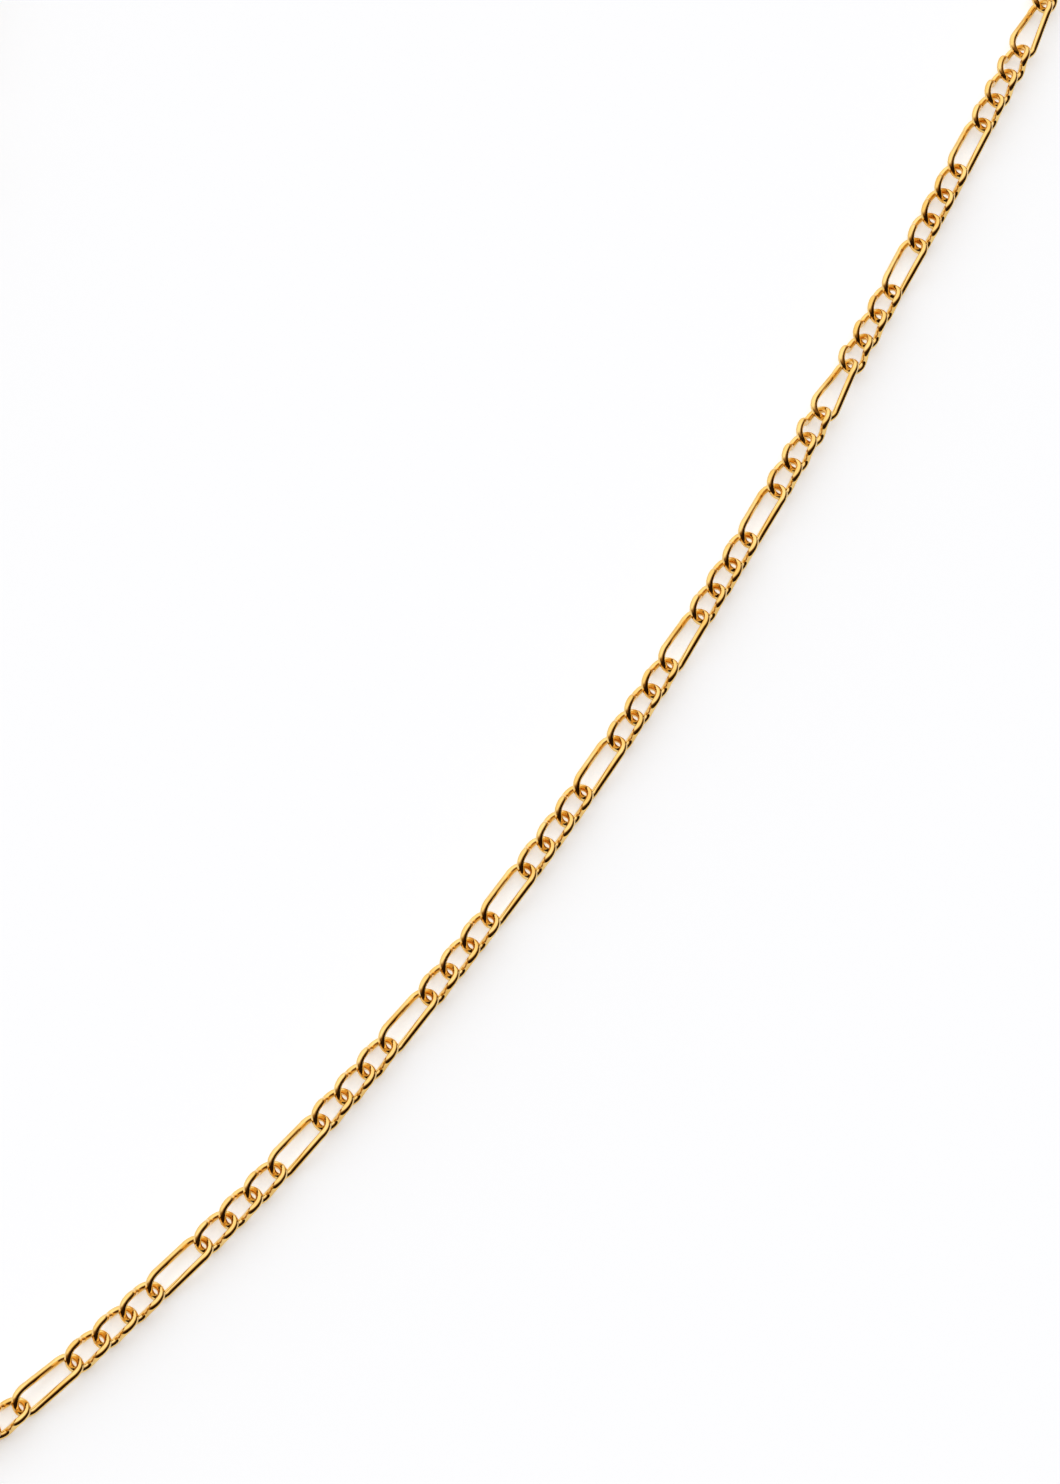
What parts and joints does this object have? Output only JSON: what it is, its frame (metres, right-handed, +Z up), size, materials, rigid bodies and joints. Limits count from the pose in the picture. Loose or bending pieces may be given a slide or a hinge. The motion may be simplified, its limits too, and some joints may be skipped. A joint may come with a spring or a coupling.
{
  "type": "figaro chain",
  "caption": "Yellow-gold figaro neck chain: long oval links, each followed by three short ones, all twisted to lie flat, closed in a loop by a plain ring clasp.",
  "frame": {"origin": "on the surface that the chain lies on, under the middle of the loop's outer box", "axes": "+Z up from the surface, +Y from the lower to the upper end of the loop as the picture shows it, +X to the picture's right"},
  "size_m": [0.1209, 0.1797, 0.0038],
  "materials": {
    "gold": "polished"
  },
  "bodies": {
    "root": {"chain_left": "gold", "chain_right": "gold", "clasp": "gold", "clasp_joining_ring": "gold", "end_joining_ring": "gold"}
  },
  "joints": []
}
